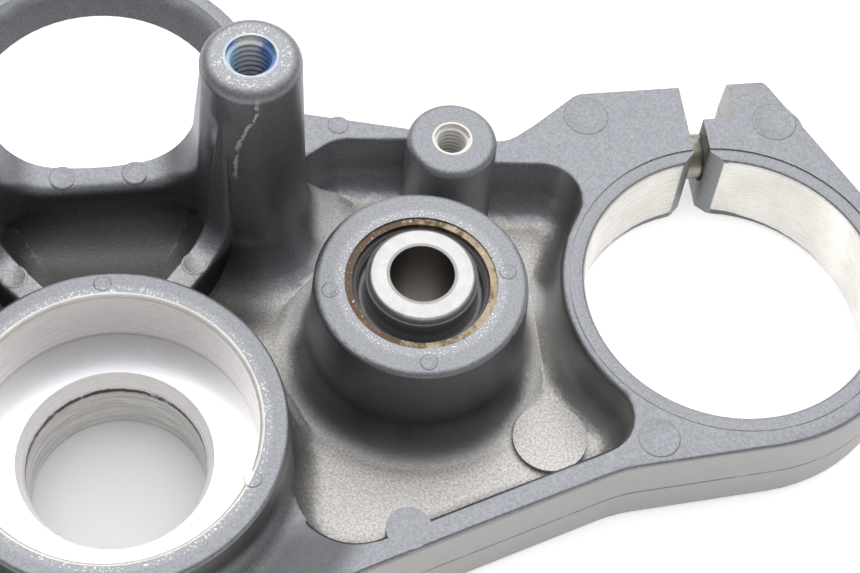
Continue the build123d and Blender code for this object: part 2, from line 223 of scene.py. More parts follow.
def readSpot(tree, coords):  # where a point of the casting lies and which way its face points
    spot = SimpleNamespace(coords=coords)
    spot.x, spot.y, spot.z = splitPlace(tree, coords)
    normal = tree.nodes.new("ShaderNodeNewGeometry").outputs["Normal"]
    sideways, spot.back, spot.up = splitPlace(tree, normal)
    spot.outward = calc(tree, "MULTIPLY", calc(tree, "SIGN", spot.x), sideways)
    spot.wide = calc(tree, "ABSOLUTE", spot.x)
    spot.stemAway = axisDistance(tree, spot.x, spot.y, stemPlace)
    spot.forkAway = axisDistance(tree, spot.wide, spot.y, forkPlace)
    spot.bushAway = axisDistance(tree, spot.wide, spot.y, bushPlace)
    spot.postAway = axisDistance(tree, spot.wide, spot.y, postPlace)
    spot.screwAway = axisDistance(tree, spot.wide, spot.y, screwPlace)
    spot.flat = fade(tree, spot.up, *paintFinish["flatUp"])
    spot.steep = fade(tree, calc(tree, "ABSOLUTE", spot.up), *paintFinish["steepUp"])
    spot.grain = speckle(tree, coords, paintFinish["grainSize"], detail=3.0, roughness=0.6)
    spot.mottle = speckle(tree, coords, paintFinish["mottleSize"], detail=4.0, roughness=0.6)
    share = paintFinish["mottleShare"]
    mixed = calc(tree, "MULTIPLY_ADD", spot.mottle, share, calc(tree, "MULTIPLY", spot.grain, 1 - share))
    spot.tone = fade(tree, mixed, *paintFinish["toneRange"])
    spot.outside = outsideShare(tree, spot)
    spot.inside = inverse(tree, spot.outside)
    return spot


# Paler, warmer floor of the pockets, with painted light on the outer feet of the posts and bushes and on
# the pocket side of the fork rings, and painted shade on the front walls, in front of the bush bosses and
# in the valley in front of the stem boss

pocketFinishAndLight = {
    "floorDark": (0.36, 0.345, 0.325),
    "floorLight": (0.62, 0.603, 0.575),
    "floorHeight": (17.0, 8.0),
    "floorUp": (0.15, 0.9),
    "floorBack": (-0.55, -0.05),
    "backY": (55.0, 52.0),
    # painted light on the lower feet of the posts and bushes
    "litFootDark": (0.62, 0.606, 0.584),
    "litFootLight": (0.90, 0.88, 0.85),
    "footMetal": 0.15,
    "footBack": (-0.5, -0.2),
    "footOutward": (0.15, 0.45),
    "innerFootOutward": (-0.1, -0.4),
    "innerFootBehind": (0.0, 5.0),  # from the bush axis
    "postFoot": (10.6, 18.5, 1.6),  # start, end and softness
    "bushFoot": (19.2, 24.5, 1.0),
    # painted light on the pocket side of the fork rings
    "ringWallLight": (0.40, 0.395, 0.385),
    "ringBand": (28.8, 36.0, 0.8),
    "ringUp": (0.9, 0.5),
    # painted shade on the walls that face the front
    "wallTone": (0.12, 0.118, 0.115),
    "wallShadeShare": 0.6,
    "wallUp": (0.8, 0.2),
    "wallBack": (-0.1, -0.8),
    "wallY": (62.0, 58.0),
    "wallPitShare": -0.8,  # change of the wall's share in the pit
    "backWallShare": 0.05,
    "backWallY": (34.0, 41.0),
    "backWallX": (34.0, 37.0),
    "backWallDull": 0.6,
    # painted shade on the floor in front of the bush bosses
    "shadeTone": (0.115, 0.112, 0.108),
    "shadeShare": 0.85,
    "shadeReach": (27.0, 21.0),  # from the bush axis, and the next two
    "shadeBehind": (3.0, -8.0),
    "shadeOutside": (19.0, 7.0),
    # painted dark reflection in the valley in front of the stem boss
    "valleyShade": (0.07, 0.07, 0.074),
    "valleyShare": 0.75,
    "valleyBand": (29.5, 41.0, 2.5),
    "valleyUp": (0.4, 0.8),
    "valleyY": (-11.0, -19.0),
    "valleyRise": (4.0, 1.0),  # above the rim
}


def pocketArea(tree, spot):
    return product(tree, fadeMm(tree, spot.y, pocketFinishAndLight["backY"]), spot.inside)


def floorTones(tree, spot, colour):
    floor = product(tree, spot.low, fade(tree, spot.up, *pocketFinishAndLight["floorUp"]),
                    fade(tree, spot.back, *pocketFinishAndLight["floorBack"]), spot.pocket)
    floorTone = tint(tree, spot.tone, pocketFinishAndLight["floorDark"], pocketFinishAndLight["floorLight"])
    return tint(tree, floor, colour, floorTone)


# where light is painted on the feet: low faces in the pocket that do not point to the front
def paintedLitFeet(tree, spot):
    postFoot = bandMm(tree, spot.postAway, *pocketFinishAndLight["postFoot"])
    bushFoot = bandMm(tree, spot.bushAway, *pocketFinishAndLight["bushFoot"])
    outer = product(tree, largest(tree, postFoot, bushFoot),
                    fade(tree, spot.outward, *pocketFinishAndLight["footOutward"]))
    inner = product(tree, bushFoot, fade(tree, spot.outward, *pocketFinishAndLight["innerFootOutward"]),
                    fadeMm(tree, spot.y, pocketFinishAndLight["innerFootBehind"], bushPlace.y / mm))
    return product(tree, largest(tree, outer, inner), fade(tree, spot.back, *pocketFinishAndLight["footBack"]),
                   spot.low, spot.pocket)


# painted light on the feet, in a pale tone
def paintedFootLight(tree, spot, colour):
    footTone = tint(tree, spot.tone, pocketFinishAndLight["litFootDark"], pocketFinishAndLight["litFootLight"])
    return tint(tree, spot.feet, colour, footTone)


def frontWalls(tree, spot):  # walls that face the front, which get painted shade
    return product(tree, fade(tree, spot.up, *pocketFinishAndLight["wallUp"]),
                   fade(tree, spot.back, *pocketFinishAndLight["wallBack"]), spot.inside)


def backWalls(tree, spot):  # the part of the pocket outside and behind the post, where the painted wall shade is weak
    return product(tree, fadeMm(tree, spot.y, pocketFinishAndLight["backWallY"]),
                   fadeMm(tree, spot.wide, pocketFinishAndLight["backWallX"]))


def paintedWallLightAndShade(tree, spot, colour):
    # painted light on the pocket side of the fork rings
    ringSide = product(tree, bandMm(tree, spot.forkAway, *pocketFinishAndLight["ringBand"]), spot.pocket,
                       fade(tree, spot.up, *pocketFinishAndLight["ringUp"]))
    colour = tint(tree, ringSide, colour, pocketFinishAndLight["ringWallLight"])
    # painted shade on the front-facing walls, weaker behind the posts and in the pit
    share = between(tree, spot.backWalls, pocketFinishAndLight["wallShadeShare"], pocketFinishAndLight["backWallShare"])
    outOfPit = calc(tree, "MULTIPLY_ADD", spot.pit, pocketFinishAndLight["wallPitShare"], 1.0)
    wall = product(tree, spot.frontWalls, outOfPit, fadeMm(tree, spot.y, pocketFinishAndLight["wallY"]), share)
    return tint(tree, wall, colour, pocketFinishAndLight["wallTone"])


def footShades(tree, spot, colour):  # painted shade on the floor in front of the bush bosses, and a painted dark reflection in the valley in front of the stem boss
    shade = product(tree, fadeMm(tree, spot.bushAway, pocketFinishAndLight["shadeReach"]), spot.pocket,
                    fadeMm(tree, spot.y, pocketFinishAndLight["shadeBehind"], bushPlace.y / mm),
                    fadeMm(tree, spot.wide, pocketFinishAndLight["shadeOutside"], bushPlace.x / mm),
                    spot.low, pocketFinishAndLight["shadeShare"])
    colour = tint(tree, shade, colour, pocketFinishAndLight["shadeTone"])
    # painted dark reflection in the valley in front of the stem boss
    valley = product(tree, bandMm(tree, spot.stemAway, *pocketFinishAndLight["valleyBand"]),
                     fade(tree, spot.up, *pocketFinishAndLight["valleyUp"]),
                     fadeMm(tree, spot.y, pocketFinishAndLight["valleyY"]),
                     fadeMm(tree, spot.z, pocketFinishAndLight["valleyRise"], levels["rim"]),
                     pocketFinishAndLight["valleyShare"])
    return tint(tree, valley, colour, pocketFinishAndLight["valleyShade"])


# Dark hollow between the posts: painted shade, low down in it and along its sides and front edge below the
# rib

pitShade = {
    "tone": (0.10, 0.096, 0.090),
    "share": 0.62,
    "halfWidth": (31.0, 21.0),
    "spanY": (26.0, 53.0, 3.0),
    "height": (12.5, 7.5),
    "edgeShade": (0.045, 0.043, 0.040),
    "edgeShare": 0.8,
    "edgeBelowRib": (0.0, -2.0),
    "frontY": (47.0, 40.5),
    "sideX": (5.0, 15.0),
    "sideShare": 0.6,
}


def pitArea(tree, spot):
    return product(tree, fadeMm(tree, spot.wide, pitShade["halfWidth"]),
                   bandMm(tree, spot.y, *pitShade["spanY"]))


def pitShadeTones(tree, spot, colour):
    # painted shade low down in the hollow
    deep = product(tree, spot.pit, fadeMm(tree, spot.z, pitShade["height"]), pitShade["share"])
    colour = tint(tree, deep, colour, pitShade["tone"])
    # painted shade along the hollow's sides and front edge
    side = product(tree, fadeMm(tree, spot.wide, pitShade["sideX"]), pitShade["sideShare"])
    edge = product(tree, spot.pit, largest(tree, side, fadeMm(tree, spot.y, pitShade["frontY"])),
                   fadeMm(tree, spot.z, pitShade["edgeBelowRib"], levels["rib"]), pitShade["edgeShare"])
    return tint(tree, edge, colour, pitShade["edgeShade"])


# Rubbed rings with bright flecks on the tops of the bosses and posts

rubbedFinish = {
    "tone": (0.33, 0.337, 0.35),
    "share": 0.6,
    "fleck": (0.74, 0.74, 0.73),
    "fleckSize": 0.30,
    "fleckEdge": (0.57, 0.67),
    "patch": (0.30, 0.52),
    "stemRing": (23.2, 24.6, 0.5),
    "bushRing": (12.4, 13.9, 0.5),
    "postRing": (4.2, 6.4, 0.5),
    "postTop": (-1.5, -1.0),
}


def rubbedTones(tree, spot, colour):
    postRing = product(tree, bandMm(tree, spot.postAway, *rubbedFinish["postRing"]),
                       fadeMm(tree, spot.z, rubbedFinish["postTop"], levels["post"]))
    rings = largest(tree, bandMm(tree, spot.stemAway, *rubbedFinish["stemRing"]),
                    bandMm(tree, spot.bushAway, *rubbedFinish["bushRing"]), postRing)
    rings = product(tree, rings, spot.flat)
    colour = tint(tree, product(tree, rings, rubbedFinish["share"]), colour, rubbedFinish["tone"])
    specks = speckle(tree, spot.coords, rubbedFinish["fleckSize"])
    flecks = product(tree, rings, fade(tree, specks, *rubbedFinish["fleckEdge"]),
                     fade(tree, spot.mottle, *rubbedFinish["patch"]))
    return tint(tree, flecks, colour, rubbedFinish["fleck"])


# Outer walls painted paler and warmer as light from the bright table, with the parting seam, and painted
# shade along the turned step around the fork rings, on their front half

outerFinishAndLight = {
    # painted light on the outer walls
    "wallTone": (0.345, 0.337, 0.330),
    "wallBack": (0.5, 0.1),
    "lineTone": (0.07, 0.07, 0.075),
    "lineShare": 0.8,
    "faintest": 0.5,
    "broken": (0.34, 0.46),
    "partingHeight": 9.0,
    "partingWidth": (0.28, 0.10),
    "stepRadius": 27.7,
    "stepWidth": (0.22, 0.08),
    "stepTop": (-1.5, -1.0),  # from the rim
    "stepFront": (6.0, -6.0),  # from the fork axis
}


def outerLightAndLines(tree, spot, colour):
    # painted light: outer walls that do not face the back are paler
    wall = product(tree, spot.steep, spot.outside, fade(tree, spot.back, *outerFinishAndLight["wallBack"]))
    colour = tint(tree, wall, colour, outerFinishAndLight["wallTone"])
    faintest = outerFinishAndLight["faintest"]
    patches = fade(tree, spot.mottle, *outerFinishAndLight["broken"])
    broken = calc(tree, "MULTIPLY_ADD", patches, 1 - faintest, faintest)
    seam = product(tree, nearLine(tree, spot.z, outerFinishAndLight["partingHeight"], outerFinishAndLight["partingWidth"]),
                   spot.steep, spot.outside)
    # painted shade of the turned step, drawn only on the front half of each ring
    step = product(tree, nearLine(tree, spot.forkAway, outerFinishAndLight["stepRadius"], outerFinishAndLight["stepWidth"]),
                   fadeMm(tree, spot.z, outerFinishAndLight["stepTop"], levels["rim"]),
                   fadeMm(tree, spot.y, outerFinishAndLight["stepFront"], forkPlace.y / mm))
    lines = product(tree, largest(tree, seam, step), broken, outerFinishAndLight["lineShare"])
    return tint(tree, lines, colour, outerFinishAndLight["lineTone"])


# Bare fork bores, dark along a ragged band at their lower edge

forkBoreFinish = {
    "dark": (0.75, 0.725, 0.68),
    "light": (0.86, 0.84, 0.80),
    "edge": (0.30, 0.10),  # past the bore
    "cloudSize": 6.0,
    "cloudStretch": (1.0, 1.0, 0.6),
    "cloudEdge": (0.35, 0.65),
    "lipTone": (0.13, 0.132, 0.138),
    "lipHeight": 2.3,
    "lipSlope": 0.075,
    "lipRagged": 0.8,
    "lipEdge": (0.5, 0.2),
}


def forkBoreArea(tree, spot):
    return fadeMm(tree, spot.forkAway, forkBoreFinish["edge"], forkRadius)


def forkBoreTones(tree, spot):
    cloudPlace = stretched(tree, spot.coords, forkBoreFinish["cloudStretch"])
    cloud = speckle(tree, cloudPlace, forkBoreFinish["cloudSize"], detail=4.0, roughness=0.6)
    tone = fade(tree, cloud, *forkBoreFinish["cloudEdge"])
    colour = tint(tree, tone, forkBoreFinish["dark"], forkBoreFinish["light"])
    fromSlit = calc(tree, "ABSOLUTE", calc(tree, "SUBTRACT", spot.wide, forkPlace.x))
    lipHeight = forkBoreFinish["lipHeight"] * mm
    lipTop = calc(tree, "MULTIPLY_ADD", fromSlit, -forkBoreFinish["lipSlope"], lipHeight)
    ragged = calc(tree, "MULTIPLY_ADD", cloud, forkBoreFinish["lipRagged"] * mm, spot.z)
    overLip = calc(tree, "SUBTRACT", ragged, lipTop)
    lip = product(tree, fadeMm(tree, overLip, forkBoreFinish["lipEdge"]), spot.forkBore)
    return tint(tree, lip, colour, forkBoreFinish["lipTone"])


# Turned stem recess: its wall, seat, lead-in cone and hole with a ring of dirt, and painted shade towards
# the back of the seat and in the corner above it

stemFinishAndShade = {
    "mouth": (0.75, 0.60),  # past the recess
    "turnedSize": 1.2,
    "turnedStretch": (0.05, 0.05, 9.0),
    "turnedEdge": (0.25, 0.75),
    "turnedDepth": 0.12,
    "roughness": (0.20, 0.34),
    "metal": 0.2,
    "wallDark": (0.91, 0.87, 0.85),
    "wallLight": (0.96, 0.93, 0.92),
    "wallReach": (-0.4, -0.1),  # from the recess radius
    "wallTop": (-0.6, -1.0),  # from the top of the boss
    "wallUp": (0.6, 0.3),
    "seatTone": (0.95, 0.95, 0.95),
    # painted shade towards the back of the seat
    "seatShade": (0.66, 0.66, 0.69),
    "seatShadeY": (4.0, 20.0),
    "seatHeight": 14.2,
    "seatWidth": (0.3, 0.2),
    "seatMetal": 0.8,
    # painted shade in the corner above the seat
    "cornerShade": (0.07, 0.07, 0.075),
    "cornerShare": 0.5,
    "cornerBand": (0.10, 0.35, 0.10),  # above the seat
    "holeReach": (1.35, 1.25),  # past the hole
    "coneTone": (0.95, 0.94, 0.93),
    "coneHeight": (14.3, 14.0),
    "holeTone": (0.55, 0.54, 0.52),
    "holeHeight": (11.6, 11.4),
    "raggedSize": 0.9,
    "raggedHeight": 1.4,
    "streakSize": 1.6,
    "streakStretch": (0.2, 0.2, 2.0),
    "streakEdge": (0.35, 0.7),
    "streakShare": -0.7,  # change of the hole's tone in a streak
    "dirt": (0.025, 0.02, 0.016),
    "dirtHeight": 11.3,
    "dirtWidth": (0.9, 0.3),
    "dirtPatch": (0.30, 0.42),
}


def stemArea(tree, spot):
    return fadeMm(tree, spot.stemAway, stemFinishAndShade["mouth"], recessRadius)


def turnedLines(tree, spot):
    place = stretched(tree, spot.coords, stemFinishAndShade["turnedStretch"])
    return speckle(tree, place, stemFinishAndShade["turnedSize"], detail=3.0, roughness=0.6)


def seatArea(tree, spot):
    height = nearLine(tree, spot.z, stemFinishAndShade["seatHeight"], stemFinishAndShade["seatWidth"])
    return product(tree, height, spot.flat, spot.stem)


def recessTones(tree, spot, turned, colour):
    wall = product(tree, fadeMm(tree, spot.stemAway, stemFinishAndShade["wallReach"], recessRadius),
                   fadeMm(tree, spot.z, stemFinishAndShade["wallTop"], levels["stem"]),
                   fade(tree, spot.up, *stemFinishAndShade["wallUp"]), spot.stem)
    lines = fade(tree, turned, *stemFinishAndShade["turnedEdge"])
    wallTone = tint(tree, lines, stemFinishAndShade["wallDark"], stemFinishAndShade["wallLight"])
    colour = tint(tree, wall, colour, wallTone)
    # painted shade towards the back of the seat
    shade = fadeMm(tree, spot.y, stemFinishAndShade["seatShadeY"])
    seatTone = tint(tree, shade, stemFinishAndShade["seatTone"], stemFinishAndShade["seatShade"])
    colour = tint(tree, spot.seat, colour, seatTone)
    # painted shade in the corner above the seat
    corner = bandMm(tree, spot.z, *stemFinishAndShade["cornerBand"], origin=stemFinishAndShade["seatHeight"])
    corner = product(tree, corner, wall, stemFinishAndShade["cornerShare"])
    return tint(tree, corner, colour, stemFinishAndShade["cornerShade"])


def stemHoleTones(tree, spot, colour):
    hole = fadeMm(tree, spot.stemAway, stemFinishAndShade["holeReach"], stemRadius)
    cone = product(tree, hole, fadeMm(tree, spot.z, stemFinishAndShade["coneHeight"]))
    colour = tint(tree, cone, colour, stemFinishAndShade["coneTone"])
    rough = speckle(tree, spot.coords, stemFinishAndShade["raggedSize"], detail=4.0, roughness=0.75)
    ragged = calc(tree, "MULTIPLY_ADD", rough, stemFinishAndShade["raggedHeight"] * mm, spot.z)
    streakPlace = stretched(tree, spot.coords, stemFinishAndShade["streakStretch"])
    streaks = speckle(tree, streakPlace, stemFinishAndShade["streakSize"], detail=4.0, roughness=0.7)
    streakShare = calc(tree, "MULTIPLY_ADD", fade(tree, streaks, *stemFinishAndShade["streakEdge"]),
                       stemFinishAndShade["streakShare"], 1.0)
    wall = product(tree, fadeMm(tree, ragged, stemFinishAndShade["holeHeight"]), hole, streakShare)
    colour = tint(tree, wall, colour, stemFinishAndShade["holeTone"])
    dirt = product(tree, nearLine(tree, ragged, stemFinishAndShade["dirtHeight"], stemFinishAndShade["dirtWidth"]), hole,
                   fade(tree, spot.mottle, *stemFinishAndShade["dirtPatch"]))
    return tint(tree, dirt, colour, stemFinishAndShade["dirt"])


# Tapped holes, the post's with remains of blue thread locker

tappedFinish = {
    "tone": (0.86, 0.84, 0.78),
    "edge": (0.45, 0.225),  # past the hole
    "locker": (0.24, 0.44, 0.72),
    "lockerPatch": (0.62, 0.42),
    "rimTone": (0.47, 0.45, 0.40),
    "rimShare": 0.7,
    "rimUp": (0.2, 0.5),
}


def tappedTones(tree, spot, colour):
    postHole = fadeMm(tree, spot.postAway, tappedFinish["edge"], postRadius)
    holes = largest(tree, postHole, fadeMm(tree, spot.screwAway, tappedFinish["edge"], screwRadius))
    colour = tint(tree, holes, colour, tappedFinish["tone"])
    blue = product(tree, postHole, fade(tree, spot.mottle, *tappedFinish["lockerPatch"]))
    colour = tint(tree, blue, colour, tappedFinish["locker"])
    rim = product(tree, holes, fade(tree, spot.up, *tappedFinish["rimUp"]), tappedFinish["rimShare"])
    return tint(tree, rim, colour, tappedFinish["rimTone"])


# Jagged scratch down the front of the right post

scratch = {
    "tone": (0.80, 0.77, 0.72),
    "line": [  # height and X
        (30.0, 22.27),
        (34.2, 22.49),
        (38.4, 22.87),
        (42.0, 23.7),
        (44.8, 24.8),
        (47.0, 25.75),
        (51.4, 26.1),
    ],
    "width": (0.38, 0.20),
    "jagSize": 1.1,
    "jagReach": 1.8,
    "front": (-3.0, -5.0),  # from the post axis
    "lowEnd": (-0.05, 0.12),  # shares of its length
    "highEnd": (1.0, 0.84),
    "gapSize": 2.2,
    "gapEdge": (0.38, 0.5),
}


def scratchTones(tree, spot, colour):
    lowHeight, lowX = scratch["line"][0]
    highHeight, highX = scratch["line"][-1]
    span = highHeight - lowHeight
    reach = highX - lowX
    along = calc(tree, "DIVIDE", calc(tree, "SUBTRACT", spot.z, lowHeight * mm), span * mm)
    curve = tree.nodes.new("ShaderNodeFloatCurve")
    points = curve.mapping.curves[0].points
    for height, x in scratch["line"][1:-1]:
        points.new((height - lowHeight) / span, (x - lowX) / reach)
    curve.mapping.update()
    put(tree, curve.inputs["Value"], along)
    line = calc(tree, "MULTIPLY_ADD", curve.outputs[0], reach * mm, lowX * mm)
    jag = speckle(tree, spot.coords, scratch["jagSize"], detail=4.0, roughness=0.7)
    middle = calc(tree, "SUBTRACT", jag, 0.5)
    jagged = calc(tree, "MULTIPLY_ADD", middle, scratch["jagReach"] * mm, spot.x)
    away = calc(tree, "ABSOLUTE", calc(tree, "SUBTRACT", jagged, line))
    gaps = speckle(tree, spot.coords, scratch["gapSize"], detail=3.0)
    mask = product(tree, fadeMm(tree, away, scratch["width"]),
                   fadeMm(tree, spot.y, scratch["front"], postPlace.y / mm),
                   fade(tree, along, *scratch["lowEnd"]), fade(tree, along, *scratch["highEnd"]),
                   fade(tree, gaps, *scratch["gapEdge"]))
    return tint(tree, mask, colour, scratch["tone"])


# The whole finish of the casting, with its painted light and shade

def addAreas(tree, spot):  # masks that several tones share
    spot.pocket = pocketArea(tree, spot)
    spot.low = fadeMm(tree, spot.z, pocketFinishAndLight["floorHeight"])
    spot.feet = paintedLitFeet(tree, spot)
    spot.frontWalls = frontWalls(tree, spot)
    spot.backWalls = backWalls(tree, spot)
    spot.pit = pitArea(tree, spot)
    spot.forkBore = forkBoreArea(tree, spot)
    spot.stem = stemArea(tree, spot)
    spot.seat = seatArea(tree, spot)


def makeCastPaint():
    material, tree, surface, coords = newMaterial("castPaintWithShading")
    spot = readSpot(tree, coords)
    addAreas(tree, spot)
    colour = tint(tree, spot.tone, paintFinish["dark"], paintFinish["light"])
    for addTones in (floorTones, paintedFootLight, paintedWallLightAndShade, footShades, pitShadeTones, rubbedTones, outerLightAndLines):
        colour = addTones(tree, spot, colour)
    turned = turnedLines(tree, spot)
    bareColour = recessTones(tree, spot, turned, forkBoreTones(tree, spot))
    bareColour = stemHoleTones(tree, spot, bareColour)
    bare = largest(tree, spot.forkBore, spot.stem)
    colour = tint(tree, bare, colour, bareColour)
    colour = tappedTones(tree, spot, colour)
    put(tree, surface.inputs["Base Color"], scratchTones(tree, spot, colour))
    dullWall = product(tree, spot.backWalls, spot.frontWalls, pocketFinishAndLight["backWallDull"])
    dull = largest(tree, spot.feet, dullWall)
    paintMetal = between(tree, dull, paintFinish["metal"], pocketFinishAndLight["footMetal"])
    stemMetal = between(tree, spot.seat, stemFinishAndShade["metal"], stemFinishAndShade["seatMetal"])
    put(tree, surface.inputs["Metallic"], between(tree, spot.stem, paintMetal, stemMetal))
    paintRough = between(tree, spot.mottle, *paintFinish["roughness"])
    bareRough = between(tree, turned, *stemFinishAndShade["roughness"])
    put(tree, surface.inputs["Roughness"], between(tree, bare, paintRough, bareRough))
    height = between(tree, bare, spot.grain, calc(tree, "MULTIPLY", turned, stemFinishAndShade["turnedDepth"]))
    addBump(tree, surface, height, paintFinish["grainDepth"])
    return material


# Light rust and a brassy edge on the thin sleeves

sleeveFinish = {
    "rust": (0.07, 0.045, 0.032),
    "brown": (0.16, 0.112, 0.080),
    "fineSize": 0.6,
    "fineDepth": 0.04,
    "brass": (0.36, 0.295, 0.20),
    "brassEdge": (0.44, 0.66),
    "patchSize": 2.6,
    "outerRise": 0.016,  # less rust for each millimetre outwards
    "fleck": (0.72, 0.69, 0.62),
    "fleckSize": 0.45,
    "fleckEdge": (0.60, 0.70),
    "fleckPatch": (0.45, 0.55),
    "metal": 0.85,
    "roughness": (0.34, 0.60),
}


def makeSleeveSteel():
    material, tree, surface, coords = newMaterial("sleeveSteel")
    x = splitPlace(tree, coords)[0]
    patch = speckle(tree, coords, sleeveFinish["patchSize"], detail=4.0, roughness=0.7)
    fine = speckle(tree, coords, sleeveFinish["fineSize"], detail=3.0, roughness=0.6)
    specks = speckle(tree, coords, sleeveFinish["fleckSize"], detail=3.0, roughness=0.7)
    rust = tint(tree, fine, sleeveFinish["rust"], sleeveFinish["brown"])
    outwards = calc(tree, "SUBTRACT", calc(tree, "ABSOLUTE", x), bushPlace.x)
    cleaner = calc(tree, "MULTIPLY_ADD", outwards, sleeveFinish["outerRise"] / mm, patch)
    colour = tint(tree, fade(tree, cleaner, *sleeveFinish["brassEdge"]), rust, sleeveFinish["brass"])
    flecks = product(tree, fade(tree, specks, *sleeveFinish["fleckEdge"]),
                     fade(tree, patch, *sleeveFinish["fleckPatch"]))
    put(tree, surface.inputs["Base Color"], tint(tree, flecks, colour, sleeveFinish["fleck"]))
    surface.inputs["Metallic"].default_value = sleeveFinish["metal"]
    put(tree, surface.inputs["Roughness"], between(tree, fine, *sleeveFinish["roughness"]))
    addBump(tree, surface, fine, sleeveFinish["fineDepth"])
    return material


# Black rubber with moulded rings; below its top it is painted lighter grey as its sheen, and the grooves
# between the rings get painted shade

rubberFinishAndLight = {
    # painted light: grey well above black rubber, standing for its sheen
    "dark": (0.30, 0.30, 0.305),
    "light": (0.46, 0.46, 0.47),
    "fineSize": 0.8,
    # painted shade in the grooves
    "groove": (0.08, 0.08, 0.082),
    "grooveEdge": (-0.2, -0.9),  # of the rings' wave
    "ringPitch": 0.95,
    "ringShare": 0.5,
    "ringDepth": 0.10,
    "top": (0.10, 0.10, 0.102),
    "topHeight": (23.2, 24.2),
    "roughness": (0.24, 0.38),
}


def makeBushRubber():
    material, tree, surface, coords = newMaterial("bushRubber")
    x, y, z = splitPlace(tree, coords)
    away = axisDistance(tree, calc(tree, "ABSOLUTE", x), y, bushPlace)
    rings = calc(tree, "SINE", calc(tree, "MULTIPLY", away, 2 * pi / (rubberFinishAndLight["ringPitch"] * mm)))
    fine = speckle(tree, coords, rubberFinishAndLight["fineSize"], detail=3.0)
    colour = tint(tree, fine, rubberFinishAndLight["dark"], rubberFinishAndLight["light"])
    # painted shade in the grooves between the rings
    colour = tint(tree, fade(tree, rings, *rubberFinishAndLight["grooveEdge"]), colour, rubberFinishAndLight["groove"])
    colour = tint(tree, fadeMm(tree, z, rubberFinishAndLight["topHeight"]), colour, rubberFinishAndLight["top"])
    put(tree, surface.inputs["Base Color"], colour)
    put(tree, surface.inputs["Roughness"], between(tree, fine, *rubberFinishAndLight["roughness"]))
    height = calc(tree, "MULTIPLY_ADD", rings, rubberFinishAndLight["ringShare"], fine)
    addBump(tree, surface, height, rubberFinishAndLight["ringDepth"])
    return material


# Satin collar with a dark bore

collarFinish = {
    "dark": (0.47, 0.47, 0.465),
    "light": (0.58, 0.58, 0.575),
    "toneRange": (0.3, 0.7),
    "grainSize": 0.5,
    "grainDepth": 0.02,
    "cloudSize": 3.0,
    "cloudShare": 0.5,
    "edge": (0.30, 0.30, 0.297),
    "edgeReach": (0.65, 0.45),  # past the bore
    "bore": (0.12, 0.10, 0.085),
    "boreDeep": (0.34, 0.31, 0.275),
    "boreDepth": (26.0, 10.0),
    "boreReach": (0.10, 0.03),
    "metal": 0.9,
    "roughness": (0.36, 0.50),
}


def makeCollarSteel():
    material, tree, surface, coords = newMaterial("collarSteel")
    x, y, z = splitPlace(tree, coords)
    away = axisDistance(tree, calc(tree, "ABSOLUTE", x), y, bushPlace)
    grain = speckle(tree, coords, collarFinish["grainSize"], detail=3.0, roughness=0.6)
    cloud = speckle(tree, coords, collarFinish["cloudSize"], detail=3.0)
    share = collarFinish["cloudShare"]
    mixed = calc(tree, "MULTIPLY_ADD", cloud, share, calc(tree, "MULTIPLY", grain, 1 - share))
    tone = fade(tree, mixed, *collarFinish["toneRange"])
    colour = tint(tree, tone, collarFinish["dark"], collarFinish["light"])
    edge = fadeMm(tree, away, collarFinish["edgeReach"], collarRadius)
    colour = tint(tree, edge, colour, collarFinish["edge"])
    deep = fadeMm(tree, z, collarFinish["boreDepth"])
    boreTone = tint(tree, deep, collarFinish["bore"], collarFinish["boreDeep"])
    colour = tint(tree, fadeMm(tree, away, collarFinish["boreReach"], collarRadius), colour, boreTone)
    put(tree, surface.inputs["Base Color"], colour)
    surface.inputs["Metallic"].default_value = collarFinish["metal"]
    put(tree, surface.inputs["Roughness"], between(tree, grain, *collarFinish["roughness"]))
    addBump(tree, surface, grain, collarFinish["grainDepth"])
    return material


# Yellow zinc on the pinch screws, darkened all over as painted shade of the slits they sit in

screwFinishAndShade = {
    # painted shade: the zinc is kept dark
    "dark": (0.17, 0.165, 0.14),
    "light": (0.40, 0.385, 0.33),
    "cloudSize": 2.5,
    "cloudDepth": 0.03,
    "metal": 1.0,
    "roughness": (0.26, 0.42),
}


def makeScrewSteel():
    material, tree, surface, coords = newMaterial("screwSteel")
    cloud = speckle(tree, coords, screwFinishAndShade["cloudSize"], detail=4.0, roughness=0.6)
    put(tree, surface.inputs["Base Color"], tint(tree, cloud, screwFinishAndShade["dark"], screwFinishAndShade["light"]))
    surface.inputs["Metallic"].default_value = screwFinishAndShade["metal"]
    put(tree, surface.inputs["Roughness"], between(tree, cloud, *screwFinishAndShade["roughness"]))
    addBump(tree, surface, cloud, screwFinishAndShade["cloudDepth"])
    return material


castPaintWithShading = makeCastPaint()
nodeFinishes = {
    "clamp_casting": castPaintWithShading,
    "bush_sleeve": makeSleeveSteel(),
    "bush_rubber": makeBushRubber(),
    "bush_collar": makeCollarSteel(),
    "pinch_bolt": makeScrewSteel(),
}
print("materials made:", len(nodeFinishes))


# Finish of the nodes: merged triangles, with small chamfers shaded as rounds

softEdges = {"mergeDistance": 0.002, "sharpAngle": 52.0}


